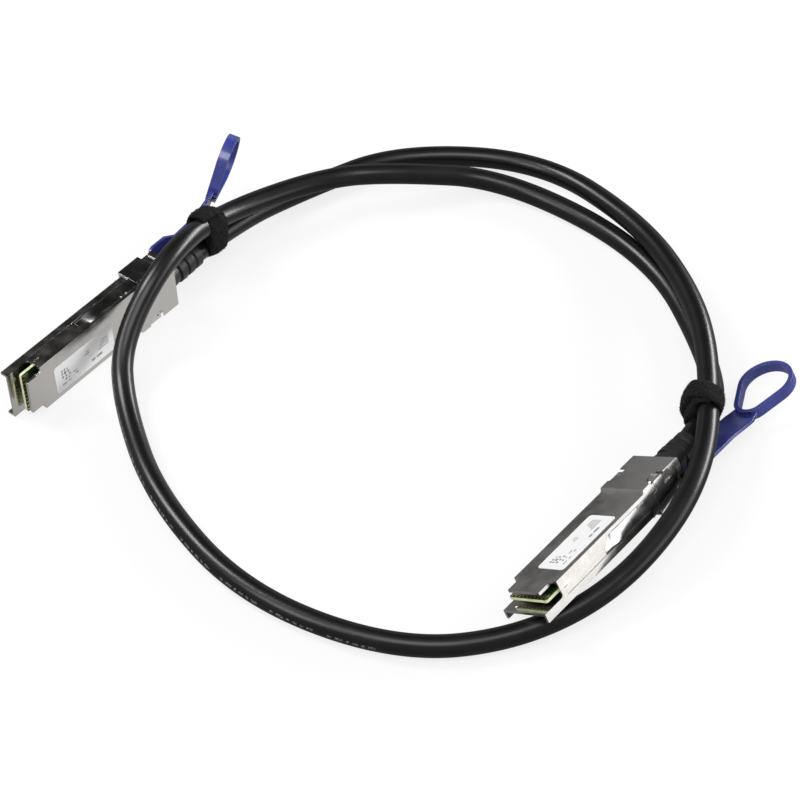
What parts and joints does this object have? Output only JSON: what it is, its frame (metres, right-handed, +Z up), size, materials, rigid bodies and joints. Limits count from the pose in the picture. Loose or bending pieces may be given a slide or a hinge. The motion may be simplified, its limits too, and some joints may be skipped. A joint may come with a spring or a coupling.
{
  "type": "direct attach copper cable",
  "caption": "Direct attach copper cable with a metal plug and a blue pull tab at each end, its round black cord wound in a loop and tied.",
  "frame": {"origin": "on the floor under the middle of the two plugs with their pull tabs", "axes": "+Z up, +X to the viewer's right along the longest side of the coil, +Y away from the viewer"},
  "size_m": [0.255, 0.2256, 0.029],
  "materials": {
    "nickel_shell": "satin nickel plate on die-cast zinc",
    "spring_steel": "bright, plain",
    "card_laminate": "solder mask, pale edge",
    "contact_gold": "bright gold plate",
    "comb_plastic": "moulded",
    "pair_foil": "foil wrap",
    "ferrule_metal": "crimped, plain",
    "jacket_black": "smooth, soft gloss",
    "boot_black": "moulded, satin",
    "tab_blue": "moulded, soft gloss",
    "tie_fabric": "hook-and-loop pile, matt",
    "label_paper": "matt white film"
  },
  "bodies": {
    "assembly": {"shell_top_a": "nickel_shell", "shell_bottom_a": "nickel_shell", "shell_screws_a": "spring_steel", "paddle_card_a": "card_laminate", "card_contacts_a": "contact_gold", "wire_comb_a": "comb_plastic", "wire_pairs_a": "pair_foil", "return_springs_a": "spring_steel", "crimp_ferrule_a": "ferrule_metal", "cable_boot_a": "boot_black", "face_label_a": "label_paper", "shell_top_b": "nickel_shell", "shell_bottom_b": "nickel_shell", "shell_screws_b": "spring_steel", "paddle_card_b": "card_laminate", "card_contacts_b": "contact_gold", "wire_comb_b": "comb_plastic", "wire_pairs_b": "pair_foil", "return_springs_b": "spring_steel", "crimp_ferrule_b": "ferrule_metal", "cable_boot_b": "boot_black", "face_label_b": "label_paper", "cable": "jacket_black", "tie_a": "tie_fabric", "tie_b": "tie_fabric"},
    "release_a": {"latch_slider_a": "spring_steel", "pull_tab_a": "tab_blue"},
    "release_b": {"latch_slider_b": "spring_steel", "pull_tab_b": "tab_blue"}
  },
  "joints": [
    {"name": "release_a_slide", "type": "slide", "parent": "assembly", "child": "release_a", "axis": [0.628, 0.7782, 0], "range_m": [0, 0.0025], "stiffness_N_per_m": 800, "springref_m": -0.0015},
    {"name": "release_b_slide", "type": "slide", "parent": "assembly", "child": "release_b", "axis": [0.6324, 0.7746, 0], "range_m": [0, 0.0025], "stiffness_N_per_m": 800, "springref_m": -0.0015}
  ]
}
